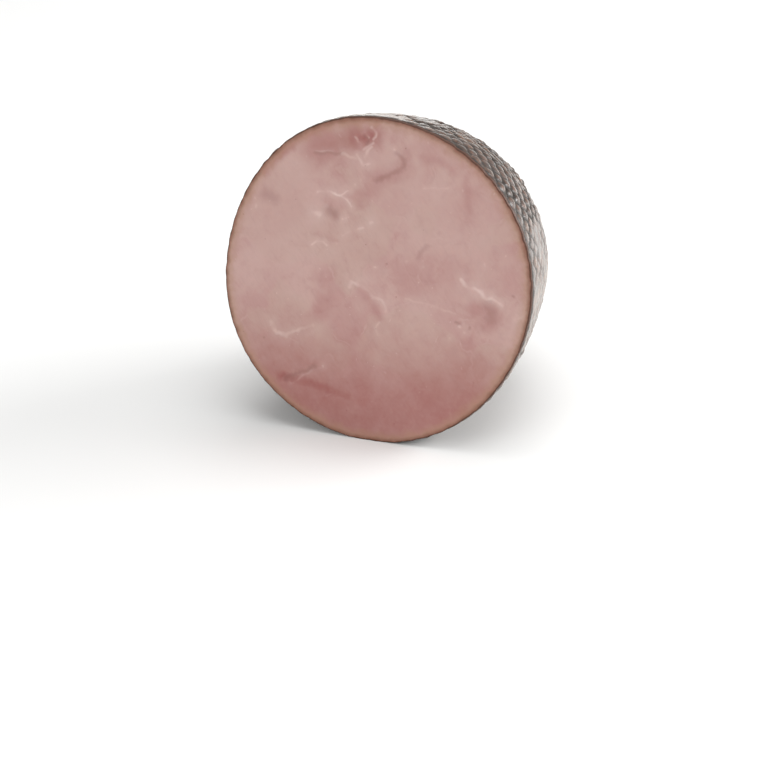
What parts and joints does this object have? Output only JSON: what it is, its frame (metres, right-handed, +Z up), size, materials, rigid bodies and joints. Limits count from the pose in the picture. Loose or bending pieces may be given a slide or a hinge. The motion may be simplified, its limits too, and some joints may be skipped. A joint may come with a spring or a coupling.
{
  "type": "half smoked leg ham",
  "caption": "Boneless smoked leg ham cut in half: flat pink cut face, dark glossy skin printed by its net, and a rounded end puckered where the net was tied.",
  "frame": {"origin": "on the surface that the ham rests on, under the middle of its box", "axes": "+Z up; the cut face looks along -Y and leans back by 10 degrees; the rounded tied end points along +Y"},
  "size_m": [0.1938, 0.1666, 0.1929],
  "materials": {
    "smoked_ham": "glossy dark smoked skin with net marks; the cut face is moist pale pink cured meat"
  },
  "bodies": {
    "root": {"ham": "smoked_ham"}
  },
  "joints": []
}
